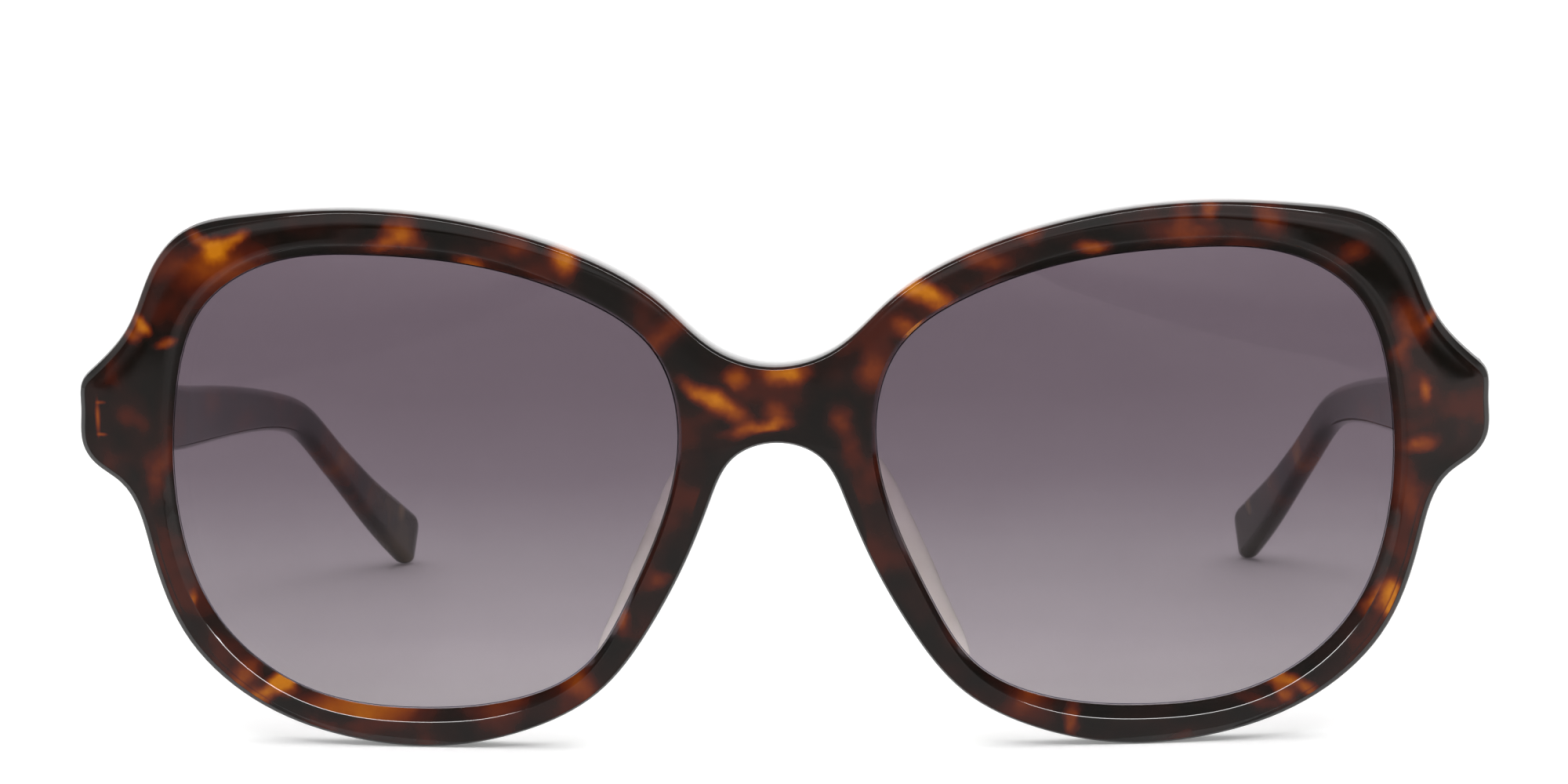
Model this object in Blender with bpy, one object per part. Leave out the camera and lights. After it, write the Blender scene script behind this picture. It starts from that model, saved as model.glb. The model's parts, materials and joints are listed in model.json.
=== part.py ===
"""A pair of acetate sunglasses with two folding temples.

Sizes are in millimetres and become metres where a mesh is made. +X is the wearer's left, the front
looks along -Y, the temples run along +Y, and +Z is up. The sunglasses stand on their rims and on
the tips of the temples, on the plane z = 0, with the origin in the middle of their outline there.
Every shape is made for the wearer's left and mirrored for the right.
"""

import math

import bmesh
import bpy
import numpy as np

MM = 0.001
GAP = 0.3  # between pieces that touch on the real object

# The front: a plate cut to an outline, bent round the face and leaned forward.
HALF_WIDTH = 71.6
THICKNESS = 4.8
FACE_RADIUS = 270.0  # of the bend, seen from above
LEAN = math.radians(4.0)
FRONT_ROUND = 1.0  # how far the front face's rounded edge reaches
BACK_ROUND = 0.7
ROUND_SHARE = 0.3  # where a rounded edge's middle lies, as a share of its reach
PAST = 1.0  # how far a cutter reaches past the face it cuts
CENTRE_Y = 74.65  # halfway from the foremost to the rearmost point
REST_Z = 0.2  # the lowest point of the leaned front, which the whole is set down by

# Half of the outline (x, height along the front), from the top of the bridge round to the nose.
OUTLINE = [
    (0.0, 39.05), (6.0, 40.8), (11.2, 45.4), (18.9, 50.0), (29.1, 53.2), (42.4, 54.7),
    (53.9, 53.9), (59.9, 52.3), (63.4, 48.5), (66.2, 42.4), (70.2, 38.0), (71.3, 36.8),
    (HALF_WIDTH, 33.9), (71.55, 30.2), (70.6, 28.5), (67.6, 26.3), (64.7, 19.7),
    (60.7, 10.0), (53.0, 3.6), (43.0, 0.5), (35.5, 0.0), (25.7, 1.9), (18.4, 5.8),
    (13.0, 12.5), (9.0, 19.9), (6.7, 25.5), (4.4, 29.7), (0.0, 31.3),
]
# The lens opening (x, height along the front), all the way round.
OPENING = [
    (12.3, 40.8), (19.1, 45.7), (29.9, 49.1), (41.4, 50.15), (51.8, 48.95), (58.5, 44.2),
    (61.4, 35.7), (61.7, 24.2), (57.9, 12.75), (48.5, 5.45), (36.6, 3.75), (27.4, 4.75),
    (19.8, 8.3), (15.15, 15.25), (11.4, 23.8), (9.8, 32.9),
]
LENS_CENTRE = np.array((36.0, 27.0))

# The rim's section, as depths from the front face.
CHAMFER = (1.15, 0.75)  # outside the opening, at the front face and where the wall begins
CHAMFER_DEPTH = 0.4
LIP_DEPTH = 1.3  # where the sloping wall reaches the opening
GROOVE_FRONT = 1.4
GROOVE_DEPTH = 1.15
GROOVE_MIDDLE = 2.25
GROOVE_BACK = 3.05
BACK_LIP = 0.45  # how much wider the opening is at the back
BACK_BEVEL = 1.0

# The lens, with its V-shaped edge in the groove.
LENS_FRONT = 1.5
LENS_BACK = 3.1
LENS_EDGE = 0.75  # how far the V reaches past the opening
LENS_SHOULDER = -0.1
LENS_CROWN = 0.9  # how much more the lens is domed than the front is bent

# The endpiece: a block on the back of the front, milled flat for the temple to close against.
END_PLANE = 12.5
BLOCK_INNER_X = (63.3, 64.9)
BLOCK_LOWER = (24.5, 28.2)
BLOCK_UPPER = (38.2, 41.6)

# The hinge: two outer knuckles on the front's plate, one middle knuckle on the temple's leaf.
HINGE_X = 66.0
HINGE_Y = END_PLANE + 1.5
HINGE_Z = 33.7
KNUCKLE_R = 1.3
BORE_R = 0.8
MIDDLE_KNUCKLE = (-0.6, 0.6)
OUTER_KNUCKLES = ((-2.0, -0.75), (0.75, 2.0))
WEB = 0.9  # half the width of the metal that joins a knuckle to its plate
PLATE_X = (65.2, 70.4)
PLATE_HALF_HEIGHT = 2.0
PLATE_THICKNESS = 1.0
LEAF_Y = (15.2, 24.0)
LEAF_X = (67.4, 68.5)
LEAF_WEB = 2.5  # how far the middle knuckle's web runs past the leaf's end
ARM_OVERLAP = 0.5
SCREW_R = 0.7
SCREW_HEAD_R = 1.15
SCREW_HEAD = 0.6
SCREW_SLOT = (0.3, 0.25)  # width and depth
SCREW_CLEAR = 0.1  # between the head and the upper knuckle
SCREW_PROUD = 0.2  # how far the screw stands out below

# The temple: (y, height of the middle, half height) along its length, butt to tip.
TEMPLE_START = END_PLANE + GAP
TEMPLE_LINE = [
    (TEMPLE_START, 33.85, 4.5), (27.0, 32.2, 4.05), (41.0, 30.5, 3.75), (65.0, 28.75, 3.25),
    (88.0, 27.0, 2.65), (101.0, 25.5, 2.35), (109.0, 23.8, 2.25), (115.0, 21.3, 2.25),
    (121.0, 18.2, 2.3), (128.0, 14.6, 2.5), (135.0, 10.9, 2.85), (143.0, 6.9, 3.35),
    (151.6, 2.7, 3.65),
]
TEMPLE_INNER_X = 67.6
TEMPLE_OUTER_X = 71.6
TIP_THICKNESS = 2.8
THINNING = (70.0, 112.0)
INCURVE_START = 50.0
INCURVE_END = 151.0
INCURVE = 12.6
TEMPLE_ROUND = 1.0
TIP_SECTION_ROUND = 1.3
TIP_ROUND = (3.0, 1.8)  # of the tip's upper and lower corners
TIP_SIDE_ROUND = 1.0
TIP_SPAN = 0.31  # where the rounding starts, as a share of the last stretch
TIP_SECTIONS = 4
TEMPLE_SECTIONS = 28
BUTT_BEVEL = 0.25
BUTT_SPAN = 0.02
BUTT_UPRIGHT = 16.0  # the length over which the sections turn from upright to square

WIRE_R = 0.5
WIRE_END = 136.0
WIRE_BORE_R = 0.8
WIRE_PAST_LEAF_X = 70.2  # where the wire passes the hinge's leaf
WIRE_RETURN = (2.0, 14.0)  # it comes back to the middle between these distances past the leaf
WIRE_SPACING = 5.0

# The nose pad, cemented to the back of the rim.
PAD_LOW = 7.0
PAD_HIGH = 31.0
PAD_DEPTH = 5.0
PAD_FLARE = 2.8  # how far the pad leans outward, away from the nose, at its deepest
PAD_HALF_WIDTH = 1.6
PAD_LEAN = 0.5  # how far the pad's top lies away from the nose, and its low end towards it
PAD_SEGMENTS = (14, 12)

OUTLINE_SAMPLES = 2 * len(OUTLINE) - 1
BRIDGE_SAMPLES = 4
LENS_SAMPLES = 56


def clear_scene():
    for obj in list(bpy.data.objects):
        bpy.data.objects.remove(obj)


def material(name, colour, roughness, metallic=0.0, alpha=1.0):
    made = bpy.data.materials.new(name)
    made.use_nodes = True
    shader = made.node_tree.nodes["Principled BSDF"]
    shader.inputs["Base Color"].default_value = (*colour, 1.0)
    shader.inputs["Roughness"].default_value = roughness
    shader.inputs["Metallic"].default_value = metallic
    shader.inputs["Alpha"].default_value = alpha
    made.diffuse_color = (*colour, alpha)
    return made


def empty(name, place, parent=None):
    made = bpy.data.objects.new(name, None)
    bpy.context.scene.collection.objects.link(made)
    made.location = np.array(place) * MM
    made.parent = parent
    return made


def mesh_object(name, points, faces, look, parent, pivot=(0, 0, 0), side=1):
    """An object from points in millimetres. Its origin is the pivot, and side -1 mirrors it in x."""
    mirror = np.array((side, 1, 1))
    places = (np.array(points, float) - np.array(pivot)) * mirror * MM
    mesh = bpy.data.meshes.new(name)
    mesh.from_pydata(places.tolist(), [], [list(face) for face in faces])
    shell = bmesh.new()
    shell.from_mesh(mesh)
    bmesh.ops.remove_doubles(shell, verts=shell.verts, dist=0.00001)
    bmesh.ops.recalc_face_normals(shell, faces=shell.faces)
    shell.to_mesh(mesh)
    shell.free()
    mesh.shade_smooth()
    mesh.set_sharp_from_angle(angle=math.radians(35))
    made = bpy.data.objects.new(name, mesh)
    bpy.context.scene.collection.objects.link(made)
    if look:
        mesh.materials.append(look)
    made.parent = parent
    return made


def cut(obj, cutter, operation="DIFFERENCE"):
    cutter.hide_render = True
    cutter.display_type = "WIRE"
    boolean = obj.modifiers.new(cutter.name, "BOOLEAN")
    boolean.operation = operation
    boolean.object = cutter


def smoothstep(value, low, high):
    t = np.clip((value - low) / (high - low), 0, 1)
    return t * t * (3 - 2 * t)


def spline(points, closed):
    """A smooth curve through the points: a function from 0..len(points) (or len - 1) to places."""
    p = np.array(points, float)
    n = len(p)
    spans = n if closed else n - 1
    step = np.linalg.norm(np.roll(p, -1, 0) - p, axis=1)
    slope = (np.roll(p, -1, 0) - p) / step[:, None]
    matrix = np.eye(n)
    right = np.zeros_like(p)
    for i in range(n) if closed else range(1, n - 1):
        matrix[i, i] = 2 * (step[i - 1] + step[i])
        matrix[i, i - 1] = step[i - 1]
        matrix[i, (i + 1) % n] = step[i]
        right[i] = 6 * (slope[i] - slope[i - 1])
    bend = np.linalg.solve(matrix, right)

    def at(places):
        places = np.atleast_1d(np.array(places, float))
        i = np.clip(np.floor(places).astype(int), 0, spans - 1)
        b = places - i
        a = 1 - b
        j = (i + 1) % n
        a, b, h = a[:, None], b[:, None], step[i][:, None]
        straight = a * p[i] + b * p[j]
        return straight + h * h / 6 * ((a**3 - a) * bend[i] + (b**3 - b) * bend[j])

    return at


def outward(curve, places):
    """Unit normals of a curve, on the right of the way it runs."""
    ahead = curve(np.array(places) + 0.001) - curve(np.array(places) - 0.001)
    ahead /= np.linalg.norm(ahead, axis=1)[:, None]
    return np.stack((ahead[:, 1], -ahead[:, 0]), axis=1)


def evenly(curve, last, count):
    """Curve parameters from 0 to last, at equal lengths along the curve."""
    fine = np.linspace(0, last, 4000)
    path = curve(fine)
    length = np.concatenate(([0], np.cumsum(np.linalg.norm(np.diff(path, axis=0), axis=1))))
    return np.interp(np.linspace(0, length[-1], count), length, fine)


def placed(points, depth):
    """Points of the flat front (x, height), at a depth behind its face, bent and leaned."""
    x, up = np.array(points, float).T
    back = depth + x * x / (2 * FACE_RADIUS)
    y = back * math.cos(LEAN) - up * math.sin(LEAN)
    z = up * math.cos(LEAN) + back * math.sin(LEAN)
    return np.stack((x, y, z), axis=1)


def back_depth(points):
    """The depth of the back face: the plate's thickness, and more on the endpiece's block."""
    x, up = np.array(points, float).T
    flat = (END_PLANE + up * math.sin(LEAN)) / math.cos(LEAN) - x * x / (2 * FACE_RADIUS)
    inside = smoothstep(x, *BLOCK_INNER_X)
    inside *= smoothstep(up, *BLOCK_LOWER) * (1 - smoothstep(up, *BLOCK_UPPER))
    return THICKNESS + inside * (flat - THICKNESS)


def front_loops():
    """The loops of points that the left half of the front is skinned over, as (rim, edge)."""
    mirrored = [(-x, up) for x, up in OUTLINE[-2:0:-1]]
    outline = spline(OUTLINE + mirrored, closed=True)
    opening = spline(OPENING, closed=True)
    at = np.linspace(0, len(OUTLINE) - 1, OUTLINE_SAMPLES)
    outer = outline(at)
    normal = outward(outline, at) * -1
    outer[[0, -1], 0] = 0
    normal[[0, -1], 0] = 0

    def inset(amount):
        return outer - normal * amount

    def with_bridge(loop):
        steps = np.linspace(loop[-1], loop[0], BRIDGE_SAMPLES + 2)[1:-1]
        return np.concatenate((loop, steps))

    front_edge = with_bridge(inset(FRONT_ROUND))
    back_edge = with_bridge(inset(BACK_ROUND))
    angles = np.unwrap(np.arctan2(*(front_edge - LENS_CENTRE).T[::-1]))
    fine = np.linspace(0, 2 * len(OPENING), 8000)
    around = np.unwrap(np.arctan2(*(opening(fine % len(OPENING)) - LENS_CENTRE).T[::-1]))
    turns = np.round((angles.mean() - around.mean()) / (2 * math.pi)) * 2 * math.pi
    at = np.interp(-angles, -(around + turns), fine) % len(OPENING)
    inner = opening(at)
    inward = outward(opening, at)

    def widened(amount):
        return inner - inward * amount

    chamfer = widened(CHAMFER[0])
    back_bevel = widened(BACK_LIP + BACK_BEVEL)
    middle = (chamfer + front_edge) / 2
    back_middle = (back_bevel + back_edge) / 2
    rim = [
        placed(back_edge, back_depth(back_edge)),
        placed(back_middle, back_depth(back_middle)),
        placed(back_bevel, back_depth(back_bevel)),
        placed(widened(BACK_LIP), THICKNESS - BACK_BEVEL),
        placed(widened(BACK_LIP), GROOVE_BACK),
        placed(widened(GROOVE_DEPTH), GROOVE_MIDDLE),
        placed(inner, GROOVE_FRONT),
        placed(inner, LIP_DEPTH),
        placed(widened(CHAMFER[1]), CHAMFER_DEPTH),
        placed(chamfer, 0.0),
        placed(middle, 0.0),
        placed(front_edge, 0.0),
    ]
    last_depth = back_depth(inset(BACK_ROUND))
    edge = [
        placed(inset(FRONT_ROUND), 0.0),
        placed(inset(FRONT_ROUND * ROUND_SHARE), FRONT_ROUND * ROUND_SHARE),
        placed(inset(0.0), FRONT_ROUND),
        placed(inset(0.0), last_depth - BACK_ROUND),
        placed(inset(BACK_ROUND * ROUND_SHARE), last_depth - BACK_ROUND * ROUND_SHARE),
        placed(inset(BACK_ROUND), last_depth),
    ]
    return rim, edge


def skin(loops, closed):
    """Quads between each loop and the next, as (points, faces)."""
    count = len(loops[0])
    faces = []
    for i in range(len(loops) - 1):
        for j in range(count if closed else count - 1):
            k = (j + 1) % count
            faces.append((i * count + j, i * count + k, (i + 1) * count + k, (i + 1) * count + j))
    return np.concatenate(loops), faces


def build_front(parent, look):
    rim, edge = front_loops()
    points, faces = skin(rim, closed=True)
    edge_points, edge_faces = skin(edge, closed=False)
    shift = len(points)
    faces += [tuple(i + shift for i in face) for face in edge_faces]
    front = mesh_object(
        "front_frame", np.concatenate((points, edge_points)), faces, look, parent
    )
    mirror = front.modifiers.new("other_half", "MIRROR")
    mirror.merge_threshold = 0.00001
    for side, word in SIDES:
        cut(front, build_plate_pocket(parent, side, word))
    return front


def build_plate_pocket(parent, side, word):
    low = (PLATE_X[0] - GAP, END_PLANE - PLATE_THICKNESS - GAP, -PLATE_HALF_HEIGHT - GAP)
    high = (PLATE_X[1] + GAP, END_PLANE + PAST, PLATE_HALF_HEIGHT + GAP)
    return box("plate_pocket_" + word, low, high, None, parent, side)


def box(name, low, high, look, parent, side, pivot=(0, 0, 0)):
    """A box whose heights are counted from the hinge's middle."""
    xs, ys, zs = zip(low, high)
    points = [(x, y, z + HINGE_Z) for z in zs for y in ys for x in xs]
    faces = [(0, 1, 3, 2), (4, 5, 7, 6), (0, 1, 5, 4), (2, 3, 7, 6), (0, 2, 6, 4), (1, 3, 7, 5)]
    return mesh_object(name, points, faces, look, parent, pivot, side)


def build_lens(parent, look, side, word):
    opening = spline(OPENING, closed=True)
    at = evenly(opening, len(OPENING), LENS_SAMPLES + 1)[:-1]
    inner = opening(at)
    inward = outward(opening, at)
    shoulder = inner - inward * LENS_SHOULDER
    loops = []
    for depth, shares in ((LENS_FRONT, (0.3, 0.65, 1.0)), (LENS_BACK, (1.0, 0.65, 0.3))):
        for share in shares:
            across = LENS_CENTRE + (shoulder - LENS_CENTRE) * share
            loops.append(placed(across, depth - LENS_CROWN * (1 - share**2)))
    loops.insert(3, placed(inner - inward * LENS_EDGE, GROOVE_MIDDLE))
    points, faces = skin(loops, closed=True)
    count = LENS_SAMPLES
    for first, depth in ((0, LENS_FRONT), (len(points) - count, LENS_BACK)):
        centre = placed([LENS_CENTRE], depth - LENS_CROWN)
        points = np.concatenate((points, centre))
        tip = len(points) - 1
        faces += [(tip, first + j, first + (j + 1) % count) for j in range(count)]
    return mesh_object("lens_" + word, points, faces, look, parent, side=side)


def pad_edges(up):
    """Where the rim's bar beside the nose begins and ends at a height, as two x."""
    outline = np.array(OUTLINE[-7:])
    opening = np.array(OPENING[-4:])
    nose = np.interp(up, *outline[:, ::-1].T)
    lens = np.interp(up, *opening[:, ::-1].T)
    return nose, lens


def build_pad(parent, look, side, word):
    """A rounded crescent: a sphere stretched along the rim, flat where it is cemented on."""
    ball = bmesh.new()
    around, along = PAD_SEGMENTS
    bmesh.ops.create_uvsphere(ball, u_segments=around, v_segments=along, radius=1)
    points = []
    for vertex in ball.verts:
        across, back, share = vertex.co
        up = (PAD_LOW + PAD_HIGH) / 2 + share * (PAD_HIGH - PAD_LOW) / 2
        nose, lens = pad_edges(up)
        depth = max(back, 0.0) * PAD_DEPTH
        middle = (nose + lens) / 2 + PAD_LEAN * share
        x = middle + across * PAD_HALF_WIDTH + PAD_FLARE * depth / PAD_DEPTH
        points.append(placed([(x, up)], THICKNESS + GAP + depth)[0])
    faces = [[v.index for v in face.verts] for face in ball.faces]
    ball.free()
    return mesh_object("nose_pad_" + word, points, faces, look, parent, side=side)


def knuckle(name, span, plate_y, parent, side, pivot, steps=16):
    """A round knuckle on the hinge's axis with a web to its plate, as an extruded outline."""
    sign = 1 if plate_y > HINGE_Y else -1
    turn = math.asin(WEB / KNUCKLE_R)
    angles = np.linspace(math.pi / 2 + turn, 2.5 * math.pi - turn, steps)
    outline = [(KNUCKLE_R * math.cos(a), sign * KNUCKLE_R * math.sin(a)) for a in angles]
    outline += [(WEB, plate_y - HINGE_Y), (-WEB, plate_y - HINGE_Y)]
    return prism(name, outline, span, None, parent, side, pivot)


def prism(name, outline, span, look, parent, side, pivot=(0, 0, 0)):
    """An outline round the hinge's axis, extruded from one height to another."""
    count = len(outline)
    points = [(HINGE_X + x, HINGE_Y + y, HINGE_Z + z) for z in span for x, y in outline]
    faces = [tuple(range(count)), tuple(range(count, 2 * count))]
    faces += [(i, (i + 1) % count, (i + 1) % count + count, i + count) for i in range(count)]
    return mesh_object(name, points, faces, look, parent, pivot, side)


def disc(radius, steps=16):
    return [
        (radius * math.cos(2 * math.pi * i / steps), radius * math.sin(2 * math.pi * i / steps))
        for i in range(steps)
    ]


def build_front_hinge(parent, look, side, word):
    low = (PLATE_X[0], END_PLANE - PLATE_THICKNESS, -PLATE_HALF_HEIGHT)
    high = (PLATE_X[1], END_PLANE, PLATE_HALF_HEIGHT)
    hinge = box("front_hinge_" + word, low, high, look, parent, side)
    for place, span in zip(("lower", "upper"), OUTER_KNUCKLES):
        web_end = END_PLANE - PLATE_THICKNESS / 2
        name = place + "_knuckle_" + word
        cut(hinge, knuckle(name, span, web_end, parent, side, (0, 0, 0)), "UNION")
    span = (OUTER_KNUCKLES[0][0] - PAST, OUTER_KNUCKLES[1][1] + PAST)
    bore = prism("front_hinge_bore_" + word, disc(BORE_R), span, None, parent, side)
    cut(hinge, bore)
    return hinge


def build_temple_hinge(parent, look, side, word, pivot):
    low = (LEAF_X[0], LEAF_Y[0], -PLATE_HALF_HEIGHT)
    high = (LEAF_X[1], LEAF_Y[1], PLATE_HALF_HEIGHT)
    hinge = box("temple_hinge_" + word, low, high, look, parent, side, pivot)
    web_end = LEAF_Y[0] + LEAF_WEB
    middle = knuckle("middle_knuckle_" + word, MIDDLE_KNUCKLE, web_end, parent, side, pivot)
    cut(hinge, middle, "UNION")
    arm_low = (HINGE_X + WEB / 2, LEAF_Y[0] + ARM_OVERLAP, MIDDLE_KNUCKLE[0])
    arm_high = (LEAF_X[0] + ARM_OVERLAP, web_end, MIDDLE_KNUCKLE[1])
    arm = box("leaf_arm_" + word, arm_low, arm_high, None, parent, side, pivot)
    cut(hinge, arm, "UNION")
    span = (MIDDLE_KNUCKLE[0] - PAST, MIDDLE_KNUCKLE[1] + PAST)
    bore = prism("temple_hinge_bore_" + word, disc(BORE_R), span, None, parent, side, pivot)
    cut(hinge, bore)
    return hinge


def build_screw(parent, look, side, word):
    top = OUTER_KNUCKLES[1][1] + SCREW_CLEAR
    span = (OUTER_KNUCKLES[0][0] - SCREW_PROUD, top + SCREW_HEAD / 2)
    screw = prism("hinge_screw_" + word, disc(SCREW_R), span, look, parent, side)
    head = (top, top + SCREW_HEAD)
    cut(screw, prism("screw_head_" + word, disc(SCREW_HEAD_R), head, None, parent, side), "UNION")
    width, depth = SCREW_SLOT
    reach = SCREW_HEAD_R + PAST
    low = (HINGE_X - reach, HINGE_Y - width / 2, head[1] - depth)
    high = (HINGE_X + reach, HINGE_Y + width / 2, head[1] + PAST)
    cut(screw, box("screw_slot_" + word, low, high, None, parent, side))
    return screw


def incurve(y):
    """How far the temple has come in from its straight line."""
    return INCURVE * (np.maximum(y - INCURVE_START, 0) / (INCURVE_END - INCURVE_START)) ** 2


def half_thickness(y):
    full = (TEMPLE_OUTER_X - TEMPLE_INNER_X) / 2
    thinned = smoothstep(y, *THINNING)
    return full + thinned * (TIP_THICKNESS / 2 - full)


def temple_frames(at):
    """(centres, up, out, half heights) of the temple's sections at spline parameters."""
    line = spline(TEMPLE_LINE, closed=False)

    def centre(places):
        y, z, _ = line(places).T
        return np.stack(((TEMPLE_INNER_X + TEMPLE_OUTER_X) / 2 - incurve(y), y, z), axis=1)

    centres = centre(at)
    ahead = centre(np.minimum(at + 0.01, len(TEMPLE_LINE) - 1)) - centre(np.maximum(at - 0.01, 0))
    # The first section is upright, so that the butt closes flat on the endpiece.
    ahead[:, 2] *= smoothstep(centres[:, 1], TEMPLE_START, TEMPLE_START + BUTT_UPRIGHT)
    ahead /= np.linalg.norm(ahead, axis=1)[:, None]
    out = np.cross(ahead, (0, 0, 1))
    out /= np.linalg.norm(out, axis=1)[:, None]
    up = np.cross(out, ahead)
    return centres, up, out, line(at)[:, 2]


def round_section(half_wide, half_high, radius):
    """A rectangle with rounded corners, as (out, up) pairs."""
    pairs = []
    for out, up, start in ((1, 1, 0), (-1, 1, 90), (-1, -1, 180), (1, -1, 270)):
        for turn in (0, 45, 90):
            angle = math.radians(start + turn)
            wide = out * (half_wide - radius) + radius * math.cos(angle)
            high = up * (half_high - radius) + radius * math.sin(angle)
            pairs.append((wide, high))
    return pairs


def build_temple(parent, look, side, word, pivot):
    last = len(TEMPLE_LINE) - 1
    line = spline(TEMPLE_LINE, closed=False)
    at = evenly(line, last, TEMPLE_SECTIONS)[1:-1]
    turn = np.linspace(0, math.pi / 2, TIP_SECTIONS)
    tip = last - TIP_SPAN * (1 - np.sin(turn))
    at = np.concatenate(([0, BUTT_SPAN], at, tip))
    bevel = np.zeros(len(at))
    bevel[0] = BUTT_BEVEL
    tipped = np.zeros(len(at))
    tipped[-TIP_SECTIONS:] = 1 - np.cos(turn)
    centres, up, out, half_high = temple_frames(at)
    centres = centres + up * (tipped * (TIP_ROUND[1] - TIP_ROUND[0]) / 2)[:, None]
    half_high = half_high - bevel - tipped * sum(TIP_ROUND) / 2
    loops = []
    for i in range(len(at)):
        wide = half_thickness(centres[i, 1]) - bevel[i] - tipped[i] * TIP_SIDE_ROUND
        rounder = smoothstep(centres[i, 1], *THINNING)
        radius = TEMPLE_ROUND + rounder * (TIP_SECTION_ROUND - TEMPLE_ROUND)
        pairs = round_section(wide, half_high[i], min(radius, wide * 0.9))
        loops.append([centres[i] + out[i] * a + up[i] * b for a, b in pairs])
    points, faces = skin(loops, closed=True)
    count = len(loops[0])
    faces += [tuple(range(count)), tuple(range(len(points) - count, len(points)))]
    temple = mesh_object("temple_" + word, points, faces, look, parent, pivot, side)
    low = (LEAF_X[0] - PAST, LEAF_Y[0] - GAP, -PLATE_HALF_HEIGHT - GAP)
    high = (LEAF_X[1] + GAP, LEAF_Y[1] + GAP, PLATE_HALF_HEIGHT + GAP)
    cut(temple, box("leaf_pocket_" + word, low, high, None, parent, side, pivot))
    bore = wire_path(TEMPLE_START - PAST, WIRE_END + GAP)
    cut(temple, tube("wire_bore_" + word, bore, WIRE_BORE_R, None, parent, side, pivot))
    return temple


def wire_path(start, end):
    """The core wire's centre line: past the hinge's leaf, then down the middle of the temple."""
    line = spline(TEMPLE_LINE, closed=False)
    fine = line(np.linspace(0, len(TEMPLE_LINE) - 1, 2000))
    ys = np.linspace(start, end, int((end - start) / WIRE_SPACING) + 2)
    zs = np.interp(ys, fine[:, 0], fine[:, 1])
    middle = (TEMPLE_INNER_X + TEMPLE_OUTER_X) / 2
    back = smoothstep(ys - LEAF_Y[1], *WIRE_RETURN)
    past = (1 - back) * (WIRE_PAST_LEAF_X - middle)
    return np.stack((middle + past - incurve(ys), ys, zs), axis=1)


def tube(name, path, radius, look, parent, side, pivot, steps=8):
    """A round bar along a path, closed at both ends."""
    ahead = np.gradient(path, axis=0)
    ahead /= np.linalg.norm(ahead, axis=1)[:, None]
    out = np.cross(ahead, (0, 0, 1))
    out /= np.linalg.norm(out, axis=1)[:, None]
    up = np.cross(out, ahead)
    loops = [
        [path[i] + out[i] * a + up[i] * b for a, b in disc(radius, steps)]
        for i in range(len(path))
    ]
    points, faces = skin(loops, closed=True)
    faces += [tuple(range(steps)), tuple(range(len(points) - steps, len(points)))]
    return mesh_object(name, points, faces, look, parent, pivot, side)


SIDES = ((1, "left"), (-1, "right"))


def main():
    clear_scene()
    acetate = material("tortoise_acetate", (0.09, 0.035, 0.015), 0.12)
    lens = material("violet_grey_lens", (0.16, 0.13, 0.15), 0.02, alpha=0.6)
    clear = material("clear_acetate", (0.78, 0.72, 0.62), 0.15)
    plated = material("hinge_metal", (0.62, 0.52, 0.34), 0.3, metallic=1.0)
    steel = material("screw_steel", (0.65, 0.65, 0.66), 0.25, metallic=1.0)
    wire = material("core_wire", (0.6, 0.6, 0.58), 0.35, metallic=1.0)
    glasses = empty("sunglasses", (0, -CENTRE_Y, -REST_Z))
    build_front(glasses, acetate)
    for side, word in SIDES:
        build_lens(glasses, lens, side, word)
        build_pad(glasses, clear, side, word)
        build_front_hinge(glasses, plated, side, word)
        build_screw(glasses, steel, side, word)
        pivot = (HINGE_X, HINGE_Y, HINGE_Z)
        hinge_axis = empty("hinge_axis_" + word, (side * HINGE_X, HINGE_Y, HINGE_Z), glasses)
        build_temple_hinge(hinge_axis, plated, side, word, pivot)
        build_temple(hinge_axis, acetate, side, word, pivot)
        path = wire_path(TEMPLE_START + PAST, WIRE_END)
        tube("core_wire_" + word, path, WIRE_R, wire, hinge_axis, side, pivot)


main()
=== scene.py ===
"""The looks of a pair of tortoiseshell acetate sunglasses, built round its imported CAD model.

Sizes are in millimetres, in the same axes as the CAD: +X is the wearer's left, the front looks along
-Y, the temples run along +Y and +Z is up. They are counted from the front of the bridge, and SHIFT,
worked out from the left hinge's place in the frame, takes them to the row frame. Every shape is made
for the wearer's left and mirrored for the right.
"""

import json
import math

import bmesh
import bpy
import numpy as np
from mathutils import Matrix, Vector


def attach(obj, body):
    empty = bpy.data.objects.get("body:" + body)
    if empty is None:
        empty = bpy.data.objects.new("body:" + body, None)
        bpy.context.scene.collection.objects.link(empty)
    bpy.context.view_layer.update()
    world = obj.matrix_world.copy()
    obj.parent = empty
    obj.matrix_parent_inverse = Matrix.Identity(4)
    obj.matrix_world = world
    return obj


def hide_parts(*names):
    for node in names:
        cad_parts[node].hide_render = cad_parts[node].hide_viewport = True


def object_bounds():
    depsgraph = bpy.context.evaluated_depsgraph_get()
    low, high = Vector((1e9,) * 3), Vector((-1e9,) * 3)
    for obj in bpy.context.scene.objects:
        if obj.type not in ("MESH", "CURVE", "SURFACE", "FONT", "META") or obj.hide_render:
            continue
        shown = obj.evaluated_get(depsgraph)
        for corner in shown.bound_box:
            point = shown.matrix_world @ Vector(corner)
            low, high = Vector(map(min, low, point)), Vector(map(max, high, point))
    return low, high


MM = 0.001
WELD_M = 0.000002  # points of a piece nearer than this are made one
SHARP_ANGLE = 50.0
LENS_SHARP_ANGLE = 30.0

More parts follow.
